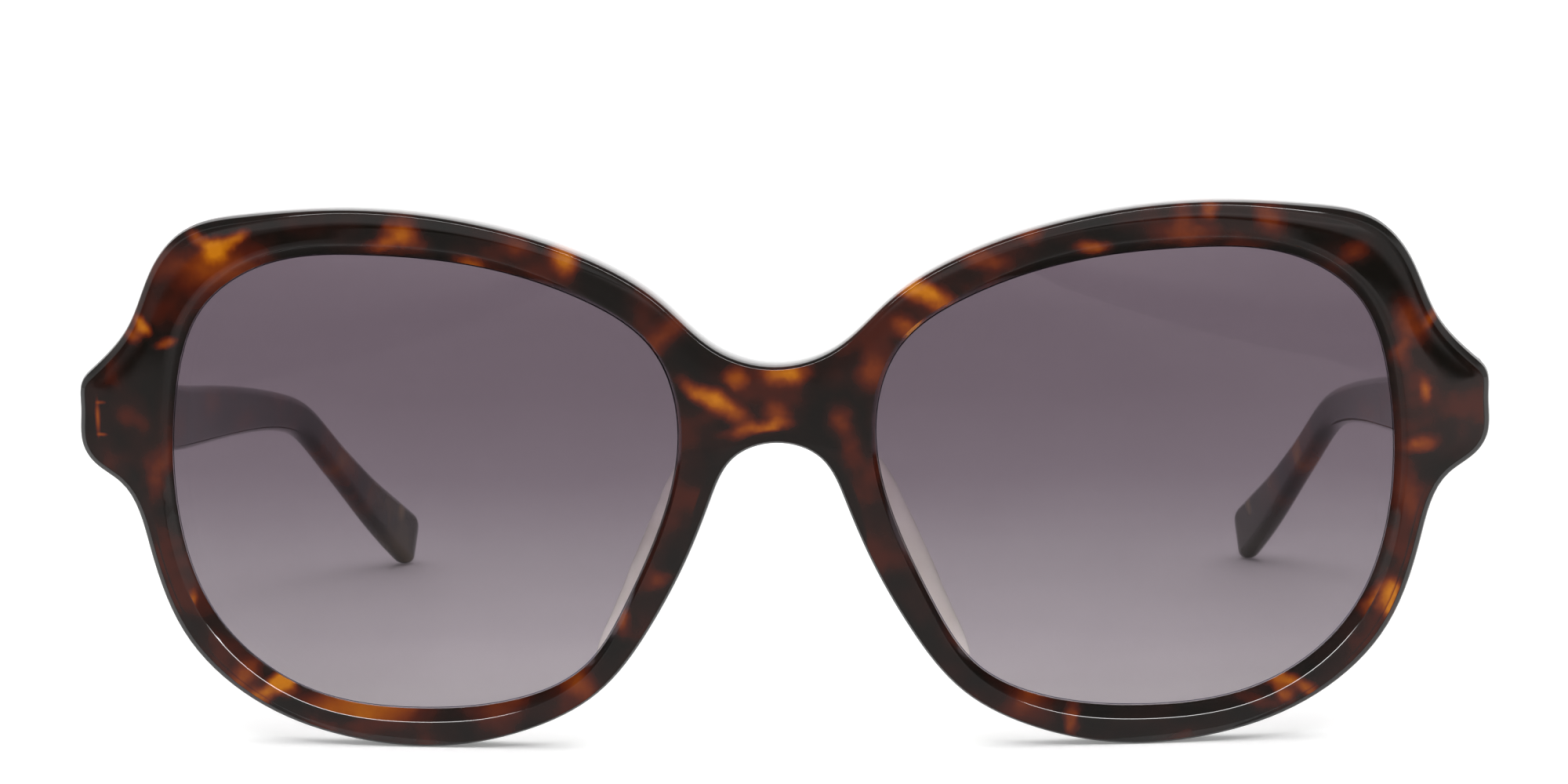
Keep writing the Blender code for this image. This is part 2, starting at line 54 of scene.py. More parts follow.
# The front: a plate cut to an outline, bent round the face and leaned forward.
THICKNESS = 4.8
FACE_RADIUS = 270.0
LEAN = math.radians(4.0)
OUTLINE = [
    (0.0, 39.05), (6.0, 40.8), (11.2, 45.4), (18.9, 50.0), (29.1, 53.2), (42.4, 54.7),
    (53.9, 53.9), (59.9, 52.3), (63.4, 48.5), (66.2, 42.4), (70.2, 38.0), (71.3, 36.8),
    (71.6, 33.9), (71.55, 30.2), (70.6, 28.5), (67.6, 26.3), (64.7, 19.7), (60.7, 10.0),
    (53.0, 3.6), (43.0, 0.5), (35.5, 0.0), (25.7, 1.9), (18.4, 5.8), (13.0, 12.5),
    (9.0, 19.9), (6.7, 25.5), (4.4, 29.7), (0.0, 31.3),
]
OPENING = [
    (12.3, 40.8), (19.1, 45.7), (29.9, 49.1), (41.4, 50.15), (51.8, 48.95), (58.5, 44.2),
    (61.4, 35.7), (61.7, 24.2), (57.9, 12.75), (48.5, 5.45), (36.6, 3.75), (27.4, 4.75),
    (19.8, 8.3), (15.15, 15.25), (11.4, 23.8), (9.8, 32.9),
]
LENS_CENTRE = np.array((36.0, 27.0))
# Sections, as corners (across, depth behind the face, how far the corner's round reaches).
RIM_SECTION = [  # across is counted outward from the opening
    (1.7, 0.0, 0.0), (1.15, 0.0, 0.14), (0.75, 0.4, 0.2), (0.0, 1.3, 0.1), (0.0, 1.4, 0.0),
    (1.15, 2.25, 0.0), (0.45, 3.05, 0.0), (0.45, 3.2, 0.0), (1.45, THICKNESS, 0.25),
]
WALL_NARROWS = (14.0, 32.0)  # the wall in front of the lens is narrow beside the nose
WALL_SHARE = 0.36
EDGE_SECTION = [  # across is counted inward from the outline, as a share of the edge's reach
    (1.6, 0.0, 0.0), (1.0, 0.0, 0.16), (0.2, 0.38, 0.2), (0.0, 0.9, 0.2),
]
EDGE_REACH = (0.3, 0.7)  # at the bridge and brow, and towards the endpieces
EDGE_WIDENS = (42.0, 60.0)
CROWN = 0.1  # how far the face falls away towards the outline
CROWN_SHARE = 0.55  # of the way from the outline to the opening
BACK_ROUND = 0.7
END_PLANE = 12.5
BLOCK_INNER_X = (63.3, 64.9)
BLOCK_LOWER = (24.5, 28.2)
BLOCK_UPPER = (38.2, 41.6)
PLATE_POCKET_X = (65.1, 70.5)
PLATE_POCKET_DEPTH = 1.1
PLATE_POCKET_HALF = 2.1
HINGE = np.array((66.0, 14.0, 33.7))

# The lens.
LENS_FRONT = 1.5
LENS_BACK = 3.1
LENS_EDGE = 0.75
LENS_MIDDLE = 2.25
LENS_GAP = 0.03
LENS_CHAMFER = 0.1
LENS_CROWN = 0.9

# The temple: (y, height of the middle, half height) along its length, butt to tip.
TEMPLE_START = 12.8
TEMPLE_LINE = [
    (TEMPLE_START, 33.85, 4.5), (27.0, 32.2, 4.05), (41.0, 30.5, 3.75), (65.0, 28.75, 3.25),
    (88.0, 27.0, 2.65), (101.0, 25.5, 2.35), (109.0, 23.8, 2.25), (115.0, 21.3, 2.25),
    (121.0, 18.2, 2.3), (128.0, 14.6, 2.5), (135.0, 10.9, 2.85), (143.0, 6.9, 3.35),
    (151.6, 2.7, 3.65),
]
TEMPLE_X = (67.6, 71.6)
TIP_THICKNESS = 2.8
THINNING = (70.0, 112.0)
INCURVE_SPAN = (50.0, 151.0)
INCURVE = 12.6
TEMPLE_ROUND = 1.0
TIP_SECTION_ROUND = 1.3
BUTT_BEVEL = 0.25
BUTT_SPAN = 0.03  # of the temple's curve, which its bevel takes up
BUTT_UPRIGHT = 16.0  # the sections lean into the temple's line over this length
ROUND_SHARE = 0.9  # the most of a section's half width that its corners' rounds take
TIP_ROUND = (3.0, 1.8)  # of the tip's upper and lower corners
TIP_SIDE_ROUND = 1.0
TIP_SPAN = 0.31
TIP_CLEAR = 0.02  # of the curve, left free before the tip's own sections

# The nose pad.
PAD_LOW = 7.0
PAD_HIGH = 31.0
PAD_DEPTH = 5.0
PAD_FLARE = 2.8
PAD_HALF_WIDTH = 1.6
PAD_LEAN = 0.5  # how far the pad's top lies away from the nose, and its low end towards it
PAD_GAP = 0.3  # between the pad and the back of the rim

# How finely the shapes are made.
OUTLINE_STEPS = 8  # points for each span of the outline
BRIDGE_STEPS = 24
FACE_LOOPS = 14
BACK_LOOPS = 5
ROUND_STEPS = 5
BACK_ROUND_STEPS = 6
LENS_STEPS = 360
LENS_RINGS = 14
TEMPLE_SECTIONS = 170
BUTT_STEPS = 5
TIP_STEPS = 14
CORNER_STEPS = 7
PAD_SEGMENTS = (48, 40)
CURVE_SAMPLES = 8000  # for measuring along a curve
OPENING_SAMPLES = 16000
AHEAD = 0.001  # how far along a curve its direction is measured
TEMPLE_AHEAD = 0.01

SIDES = ((1, "left"), (-1, "right"))

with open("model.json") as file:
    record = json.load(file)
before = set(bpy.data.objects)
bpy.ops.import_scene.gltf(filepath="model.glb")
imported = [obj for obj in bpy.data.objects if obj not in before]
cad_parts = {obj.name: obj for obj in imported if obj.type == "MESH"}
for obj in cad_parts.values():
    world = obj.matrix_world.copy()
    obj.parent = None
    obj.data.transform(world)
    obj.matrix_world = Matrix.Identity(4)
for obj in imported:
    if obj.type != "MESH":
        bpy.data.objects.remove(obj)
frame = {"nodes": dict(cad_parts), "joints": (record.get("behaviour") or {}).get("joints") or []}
CAD_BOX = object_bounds()
LEFT_HINGE = next(j for j in frame["joints"] if j["child"] == "left_temple")
SHIFT = np.array(LEFT_HINGE["pos_m"]) / MM - HINGE


# ---------------------------------------------------------------- curves and sections


def smoothstep(value, low, high):
    t = np.clip((value - low) / (high - low), 0, 1)
    return t * t * (3 - 2 * t)


def spline(points, closed):
    """A smooth curve through the points: a function from 0..len(points) (or len - 1) to places."""
    p = np.array(points, float)
    n = len(p)
    spans = n if closed else n - 1
    step = np.linalg.norm(np.roll(p, -1, 0) - p, axis=1)
    slope = (np.roll(p, -1, 0) - p) / step[:, None]
    matrix = np.eye(n)
    right = np.zeros_like(p)
    for i in range(n) if closed else range(1, n - 1):
        matrix[i, i] = 2 * (step[i - 1] + step[i])
        matrix[i, i - 1] = step[i - 1]
        matrix[i, (i + 1) % n] = step[i]
        right[i] = 6 * (slope[i] - slope[i - 1])
    bend = np.linalg.solve(matrix, right)

    def at(places):
        places = np.atleast_1d(np.array(places, float))
        i = np.clip(np.floor(places).astype(int), 0, spans - 1)
        b = places - i
        a = 1 - b
        j = (i + 1) % n
        a, b, h = a[:, None], b[:, None], step[i][:, None]
        straight = a * p[i] + b * p[j]
        return straight + h * h / 6 * ((a**3 - a) * bend[i] + (b**3 - b) * bend[j])

    return at


def outward(curve, places):
    """Unit normals of a curve, on the right of the way it runs."""
    ahead = curve(np.array(places) + AHEAD) - curve(np.array(places) - AHEAD)
    ahead /= np.linalg.norm(ahead, axis=1)[:, None]
    return np.stack((ahead[:, 1], -ahead[:, 0]), axis=1)


def evenly(curve, last, count):
    """Curve parameters from 0 to last, at equal lengths along the curve."""
    fine = np.linspace(0, last, CURVE_SAMPLES)
    path = curve(fine)
    length = np.concatenate(([0], np.cumsum(np.linalg.norm(np.diff(path, axis=0), axis=1))))
    return np.interp(np.linspace(0, length[-1], count), length, fine)


def rounded(section):
    """A section's corners as points, each corner with a reach turned into a round."""
    points = []
    for i, (across, depth, reach) in enumerate(section):
        corner = np.array((across, depth))
        if not reach:
            points.append(corner)
            continue
        before = np.array(section[i - 1][:2]) - corner
        after = -before if i + 1 == len(section) else np.array(section[i + 1][:2]) - corner
        start = corner + before / np.linalg.norm(before) * reach
        end = corner + after / np.linalg.norm(after) * reach
        for t in np.linspace(0, 1, ROUND_STEPS + 1):
            points.append((1 - t) ** 2 * start + 2 * t * (1 - t) * corner + t * t * end)
    return points


def placed(points, depth):
    """Points of the flat front (x, height), at a depth behind its face, bent and leaned."""
    x, up = np.array(points, float).T
    back = depth + x * x / (2 * FACE_RADIUS)
    y = back * math.cos(LEAN) - up * math.sin(LEAN)
    z = up * math.cos(LEAN) + back * math.sin(LEAN)
    return np.stack((x, y, z), axis=1)


def back_depth(points):
    """The depth of the back face: the plate's thickness, and more on the endpiece's block."""
    x, up = np.array(points, float).T
    flat = (END_PLANE + up * math.sin(LEAN)) / math.cos(LEAN) - x * x / (2 * FACE_RADIUS)
    inside = smoothstep(x, *BLOCK_INNER_X)
    inside *= smoothstep(up, *BLOCK_LOWER) * (1 - smoothstep(up, *BLOCK_UPPER))
    return THICKNESS + inside * (flat - THICKNESS)


def skin(loops, closed):
    """Quads between each loop and the next, as (points, faces)."""
    count = len(loops[0])
    faces = []
    for i in range(len(loops) - 1):
        for j in range(count if closed else count - 1):
            k = (j + 1) % count
            faces.append((i * count + j, i * count + k, (i + 1) * count + k, (i + 1) * count + j))
    return np.concatenate(loops), faces


# ---------------------------------------------------------------- pieces


def piece(name, points, faces, look, body, replaces, side=1, sharp=SHARP_ANGLE):
    """A piece from points in millimetres, mirrored for side -1, riding on a body for a CAD node.

    It is kept inside the CAD's box, which the finer curves would leave by a few hundredths.
    """
    places = (np.array(points, float) * (side, 1, 1) + SHIFT) * MM
    places = np.clip(places, CAD_BOX[0], CAD_BOX[1])
    mesh = bpy.data.meshes.new(name)
    mesh.from_pydata(places.tolist(), [], [list(face) for face in faces])
    shell = bmesh.new()
    shell.from_mesh(mesh)
    bmesh.ops.remove_doubles(shell, verts=shell.verts, dist=WELD_M)
    bmesh.ops.recalc_face_normals(shell, faces=shell.faces)
    shell.to_mesh(mesh)
    shell.free()
    mesh.shade_smooth()
    mesh.set_sharp_from_angle(angle=math.radians(sharp))
    made = bpy.data.objects.new(name, mesh)
    bpy.context.scene.collection.objects.link(made)
    mesh.materials.append(look)
    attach(made, body)
    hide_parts(replaces)
    return made


def opening_facing(loop):
    """The opening's points that face a loop's points, seen from the lens's centre, and the normals there."""
    opening = spline(OPENING, closed=True)
    angles = np.unwrap(np.arctan2(*(loop - LENS_CENTRE).T[::-1]))
    fine = np.linspace(0, 2 * len(OPENING), OPENING_SAMPLES)
    around = np.unwrap(np.arctan2(*(opening(fine % len(OPENING)) - LENS_CENTRE).T[::-1]))
    turns = np.round((angles.mean() - around.mean()) / (2 * math.pi)) * 2 * math.pi
    at = np.interp(-angles, -(around + turns), fine) % len(OPENING)
    return opening(at), outward(opening, at)


def front_half():
    """The left half of the front, as (points, faces)."""
    mirrored = [(-x, up) for x, up in OUTLINE[-2:0:-1]]
    outline = spline(OUTLINE + mirrored, closed=True)
    last = len(OUTLINE) - 1
    at = np.linspace(0, last, last * OUTLINE_STEPS + 1)
    outer = outline(at)
    normal = -outward(outline, at)
    outer[[0, -1], 0] = 0
    normal[[0, -1], 0] = 0

    widening = smoothstep(outer[:, 0], *EDGE_WIDENS)[:, None]
    reach = EDGE_REACH[0] + (EDGE_REACH[1] - EDGE_REACH[0]) * widening

    def inset(amount):
        return outer - normal * amount

    def with_bridge(loop):
        steps = np.linspace(loop[-1], loop[0], BRIDGE_STEPS + 2)[1:-1]
        return np.concatenate((loop, steps))

    front_edge = with_bridge(inset(reach * EDGE_SECTION[0][0]))
    back_edge = with_bridge(inset(BACK_ROUND))
    inner, inward = opening_facing(front_edge)

    def widened(amount):
        return inner - inward * amount

    narrowed = WALL_SHARE + (1 - WALL_SHARE) * smoothstep(inner[:, 0], *WALL_NARROWS)[:, None]
    rim = []
    face_start = widened(RIM_SECTION[0][0] * narrowed)
    back_start = widened(RIM_SECTION[-1][0] + RIM_SECTION[-1][2])
    for share in np.linspace(0, 1, FACE_LOOPS, endpoint=False):
        fall = CROWN * max(0.0, 1 - share / CROWN_SHARE) ** 2
        rim.append(placed(front_edge + (face_start - front_edge) * share, fall))
    for across, depth in rounded(RIM_SECTION):
        wall = across * narrowed if depth < LENS_FRONT else across
        rim.append(placed(widened(wall), depth))
    for share in np.linspace(0, 1, BACK_LOOPS)[1:]:
        loop = back_start + (back_edge - back_start) * share
        rim.append(placed(loop, back_depth(loop)))
    edge = []
    for across, depth in rounded(EDGE_SECTION):
        edge.append(placed(inset(across * reach), depth + CROWN))
    last_depth = back_depth(inset(BACK_ROUND))
    for angle in np.linspace(0, math.pi / 2, BACK_ROUND_STEPS):
        across = BACK_ROUND * (1 - math.cos(angle))
        edge.append(placed(inset(across), last_depth - BACK_ROUND * (1 - math.sin(angle))))
    points, faces = skin(rim, closed=True)
    edge_points, edge_faces = skin(edge, closed=False)
    faces += [tuple(i + len(points) for i in face) for face in edge_faces]
    return np.concatenate((points, edge_points)), faces


def build_front(look):
    points, faces = front_half()
    shift = len(points)
    points = np.concatenate((points, points * (-1, 1, 1)))
    faces += [tuple(i + shift for i in face) for face in faces]
    front = piece("acetate_front", points, faces, look, "front", "front_frame")
    for side, word in SIDES:
        pocket = plate_pocket(side, word)
        boolean = front.modifiers.new("plate_pocket_" + word, "BOOLEAN")
        boolean.operation = "DIFFERENCE"
        boolean.solver = "EXACT"
        boolean.object = pocket
    apply_modifiers(front)
    for _, word in SIDES:
        bpy.data.objects.remove(bpy.data.objects["pocket_cutter_" + word])
    return front


def plate_pocket(side, word):
    """The cutter for the pocket that the hinge's plate is sunk in."""
    shell = bmesh.new()
    bmesh.ops.create_cube(shell, size=1)
    size = (
        PLATE_POCKET_X[1] - PLATE_POCKET_X[0], PLATE_POCKET_DEPTH + 1, 2 * PLATE_POCKET_HALF,
    )
    centre = (
        side * sum(PLATE_POCKET_X) / 2, END_PLANE + (1 - PLATE_POCKET_DEPTH) / 2, HINGE[2],
    )
    for vertex in shell.verts:
        vertex.co = [(c * s + m + d) * MM for c, s, m, d in zip(vertex.co, size, centre, SHIFT)]
    mesh = bpy.data.meshes.new("pocket_cutter_" + word)
    shell.to_mesh(mesh)
    shell.free()
    cutter = bpy.data.objects.new("pocket_cutter_" + word, mesh)
    bpy.context.scene.collection.objects.link(cutter)
    cutter.hide_render = True
    return cutter


def apply_modifiers(obj):
    bpy.context.view_layer.update()
    graph = bpy.context.evaluated_depsgraph_get()
    mesh = bpy.data.meshes.new_from_object(obj.evaluated_get(graph))
    obj.modifiers.clear()
    obj.data = mesh
    mesh.shade_smooth()
    mesh.set_sharp_from_angle(angle=math.radians(SHARP_ANGLE))


def build_lens(look, side, word):
    opening = spline(OPENING, closed=True)
    at = evenly(opening, len(OPENING), LENS_STEPS + 1)[:-1]
    inner = opening(at)
    inward = outward(opening, at)
    rim = inner + inward * LENS_GAP
    face = inner + inward * (LENS_GAP + LENS_CHAMFER)
    loops = []
    shares = np.linspace(0, 1, LENS_RINGS)[1:]
    for share in shares:
        across = LENS_CENTRE + (face - LENS_CENTRE) * share
        loops.append(placed(across, LENS_FRONT - LENS_CROWN * (1 - share**2)))
    loops.append(placed(rim, LENS_FRONT + LENS_CHAMFER))
    loops.append(placed(inner - inward * LENS_EDGE, LENS_MIDDLE))
    for share in shares[::-1]:
        across = LENS_CENTRE + (rim - LENS_CENTRE) * share
        loops.append(placed(across, LENS_BACK - LENS_CROWN * (1 - share**2)))
    points, faces = skin(loops, closed=True)
    count = LENS_STEPS
    ring = range((len(shares) - 1) * count, len(shares) * count)
    for first, depth in ((0, LENS_FRONT), (len(points) - count, LENS_BACK)):
        points = np.concatenate((points, placed([LENS_CENTRE], depth - LENS_CROWN)))
        tip = len(points) - 1
        faces += [(tip, first + j, first + (j + 1) % count) for j in range(count)]
    lens = piece(
        "tinted_lens_" + word, points, faces, look, "front", "lens_" + word,
        side, LENS_SHARP_ANGLE,
    )
    lens.data.materials.append(lens_edge(word))
    for index in ring:
        lens.data.polygons[index].material_index = 1
    return lens


def pad_edges(up):
    """Where the rim's bar beside the nose begins and ends at a height, as two x."""
    outline = np.array(OUTLINE[-7:])
    opening = np.array(OPENING[-4:])
    nose = np.interp(up, *outline[:, ::-1].T)
    lens = np.interp(up, *opening[:, ::-1].T)
    return nose, lens


def build_pad(look, side, word):
    """A rounded crescent: a sphere stretched along the rim, flat where it is cemented on."""
    ball = bmesh.new()
    around, along = PAD_SEGMENTS
    bmesh.ops.create_uvsphere(ball, u_segments=around, v_segments=along, radius=1)
    points = []
    for vertex in ball.verts:
        across, back, share = vertex.co
        up = (PAD_LOW + PAD_HIGH) / 2 + share * (PAD_HIGH - PAD_LOW) / 2
        nose, lens = pad_edges(up)
        depth = max(back, 0.0) * PAD_DEPTH
        middle = (nose + lens) / 2 + PAD_LEAN * share
        x = middle + across * PAD_HALF_WIDTH + PAD_FLARE * depth / PAD_DEPTH
        points.append(placed([(x, up)], THICKNESS + PAD_GAP + depth)[0])
    faces = [[v.index for v in face.verts] for face in ball.faces]
    ball.free()
    return piece(
        "moulded_pad_" + word, points, faces, look, "front", "nose_pad_" + word,
        side,
    )


def incurve(y):
    """How far the temple has come in from its straight line."""
    start, end = INCURVE_SPAN
    return INCURVE * (np.maximum(y - start, 0) / (end - start)) ** 2


def temple_frames(at):
    """(centres, up, out, half heights) of the temple's sections at spline parameters."""
    line = spline(TEMPLE_LINE, closed=False)

    def centre(places):
        y, z, _ = line(places).T
        return np.stack((sum(TEMPLE_X) / 2 - incurve(y), y, z), axis=1)

    centres = centre(at)
    after = np.minimum(at + TEMPLE_AHEAD, len(TEMPLE_LINE) - 1)
    ahead = centre(after) - centre(np.maximum(at - TEMPLE_AHEAD, 0))
    # The first section is upright, so that the butt closes flat on the endpiece.
    ahead[:, 2] *= smoothstep(centres[:, 1], TEMPLE_START, TEMPLE_START + BUTT_UPRIGHT)
    ahead /= np.linalg.norm(ahead, axis=1)[:, None]
    out = np.cross(ahead, (0, 0, 1))
    out /= np.linalg.norm(out, axis=1)[:, None]
    up = np.cross(out, ahead)
    return centres, up, out, line(at)[:, 2]


def round_section(half_wide, half_high, radius):
    """A rectangle with rounded corners, as (out, up) pairs."""
    pairs = []
    for out, up, start in ((1, 1, 0), (-1, 1, 90), (-1, -1, 180), (1, -1, 270)):
        for turn in np.linspace(0, 90, CORNER_STEPS):
            angle = math.radians(start + turn)
            wide = out * (half_wide - radius) + radius * math.cos(angle)
            high = up * (half_high - radius) + radius * math.sin(angle)
            pairs.append((wide, high))
    return pairs


def build_temple(look, side, word):
    last = len(TEMPLE_LINE) - 1
    line = spline(TEMPLE_LINE, closed=False)
    at = evenly(line, last, TEMPLE_SECTIONS)
    start = np.linspace(0, BUTT_SPAN, BUTT_STEPS)
    turned = np.linspace(0, math.pi / 2, TIP_STEPS)
    tip = last - TIP_SPAN * (1 - np.sin(turned))
    between = (at > 2 * BUTT_SPAN) & (at < last - TIP_SPAN - TIP_CLEAR)
    at = np.concatenate((start, at[between], tip))
    centres, up, out, half_high = temple_frames(at)
    bevel = np.zeros(len(at))
    bevel[:BUTT_STEPS] = BUTT_BEVEL * (1 - np.sqrt(1 - np.linspace(1, 0, BUTT_STEPS) ** 2))
    tipped = np.zeros(len(at))
    tipped[-TIP_STEPS:] = 1 - np.cos(turned)
    centres = centres + up * (tipped * (TIP_ROUND[1] - TIP_ROUND[0]) / 2)[:, None]
    half_high = half_high - bevel - tipped * sum(TIP_ROUND) / 2
    full = (TEMPLE_X[1] - TEMPLE_X[0]) / 2
    loops = []
    for i in range(len(at)):
        thinned = smoothstep(centres[i, 1], *THINNING)
        wide = full + thinned * (TIP_THICKNESS / 2 - full)
        wide -= bevel[i] + tipped[i] * TIP_SIDE_ROUND
        radius = TEMPLE_ROUND + thinned * (TIP_SECTION_ROUND - TEMPLE_ROUND)
        pairs = round_section(wide, half_high[i], min(radius, wide * ROUND_SHARE))
        loops.append([centres[i] + out[i] * a + up[i] * b for a, b in pairs])
    points, faces = skin(loops, closed=True)
    count = len(loops[0])
    faces += [tuple(range(count)), tuple(range(len(points) - count, len(points)))]
    return piece(
        "acetate_temple_" + word, points, faces, look, word + "_temple", "temple_" + word,
        side,
    )


# ---------------------------------------------------------------- material nodes

ENDLESS = 1e6  # an ellipse's half depth: it goes right through the piece
FLECK_FADE = (2.0, 0.1)  # in half widths: where a fleck begins, and where it is full


class Nodes:
    """Short calls that add nodes to a node tree. A value may be a socket or a number."""

    def __init__(self, node_tree):
        self.nodes = node_tree.nodes
        self.links = node_tree.links

    def put(self, socket, value):
        if isinstance(value, bpy.types.NodeSocket):
            self.links.new(value, socket)
        else:
            socket.default_value = value

    def add(self, kind, inputs=(), **settings):
        node = self.nodes.new("ShaderNode" + kind)
        for name, value in settings.items():
            setattr(node, name, value)
        for name, value in dict(inputs).items():
            self.put(node.inputs[name], value)
        return node

    def math(self, operation, first, second=0.0, clamp=False):
        inputs = {0: first, 1: second}
        return self.add("Math", inputs, operation=operation, use_clamp=clamp).outputs[0]

    def ramp(self, value, low, high, to_low=0.0, to_high=1.0):
        """A smooth step of a value between two bounds."""
        inputs = {"Value": value, "From Min": low, "From Max": high}
        inputs.update({"To Min": to_low, "To Max": to_high})
        return self.add("MapRange", inputs, interpolation_type="SMOOTHSTEP").outputs[0]

    def colours(self, value, stops):
        """A colour from a value, through (position, colour) stops."""
        node = self.add("ValToRGB", {"Fac": value})
        elements = node.color_ramp.elements
        for place, _ in stops[2:]:
            elements.new(place)
        for element, (place, _) in zip(elements, stops):
            element.position = place
        for element, (_, colour) in zip(elements, stops):
            element.color = (*colour, 1)
        return node.outputs["Color"]

    def mix(self, factor, first, second):
        node = self.add("Mix", data_type="RGBA")
        for index, value in ((0, factor), (6, first), (7, second)):
            if isinstance(value, tuple):
                value = (*value, 1)
            self.put(node.inputs[index], value)
        return node.outputs[2]

    def place(self):
        """The point on the piece, in this script's millimetres."""
        coordinates = self.add("TexCoord").outputs["Object"]
        scaled = self.add("VectorMath", {0: coordinates, "Scale": 1 / MM}, operation="SCALE")
        inputs = {0: scaled.outputs[0], 1: tuple(SHIFT)}
        return self.add("VectorMath", inputs, operation="SUBTRACT").outputs[0]

    def noise(self, vector, scale, detail=2.0, colour=False):
        inputs = {"Vector": vector, "Scale": scale, "Detail": detail}
        return self.add("TexNoise", inputs).outputs["Color" if colour else "Fac"]

    def warped(self, vector, amount, scale):
        """A point moved about by noise, so that what is placed by it gets an uneven edge."""
        noise = self.noise(vector, scale, colour=True)
        middle = self.add("VectorMath", {0: noise, 1: (0.5,) * 3}, operation="SUBTRACT")
        inputs = {0: middle.outputs[0], "Scale": amount}
        moved = self.add("VectorMath", inputs, operation="SCALE").outputs[0]
        return self.add("VectorMath", {0: vector, 1: moved}, operation="ADD").outputs[0]

    def ellipse(self, vector, x, z, wide, high, tilt=0.0):
        """How far out a point is in an ellipse across x and z: 0 in the middle, 1 on the edge."""
        node = self.add("Mapping", {"Vector": vector}, vector_type="TEXTURE")
        node.inputs["Location"].default_value = (x, 0, z)
        node.inputs["Rotation"].default_value = (0, -math.radians(tilt), 0)
        node.inputs["Scale"].default_value = (wide, ENDLESS, high)
        return self.add("VectorMath", {0: node.outputs[0]}, operation="LENGTH").outputs["Value"]

    def flecks(self, vector, spots):
        """The sum of soft flecks, each (x, z, half width, half height, tilt, strength)."""
        total = 0.0
        for x, z, wide, high, tilt, strength in spots:
            fleck = self.ramp(self.ellipse(vector, x, z, wide, high, tilt), *FLECK_FADE)
            inputs = {0: fleck, 1: strength, 2: total}
            total = self.add("Math", inputs, operation="MULTIPLY_ADD").outputs[0]
        return total


class Tree(Nodes):
    """A material and the nodes it starts with."""

    def __init__(self, name):
        self.material = bpy.data.materials.new(name)
        self.material.use_nodes = True
        super().__init__(self.material.node_tree)
        self.shader = self.nodes["Principled BSDF"]
        self.output = self.nodes["Material Output"]

    def bumped(self, height, distance):
        """A faint unevenness of the surface, from a height of 0 to 1."""
        inputs = {"Height": height, "Strength": 1.0, "Distance": distance * MM}
        self.put(self.shader.inputs["Normal"], self.add("Bump", inputs).outputs[0])


# ---------------------------------------------------------------- materials

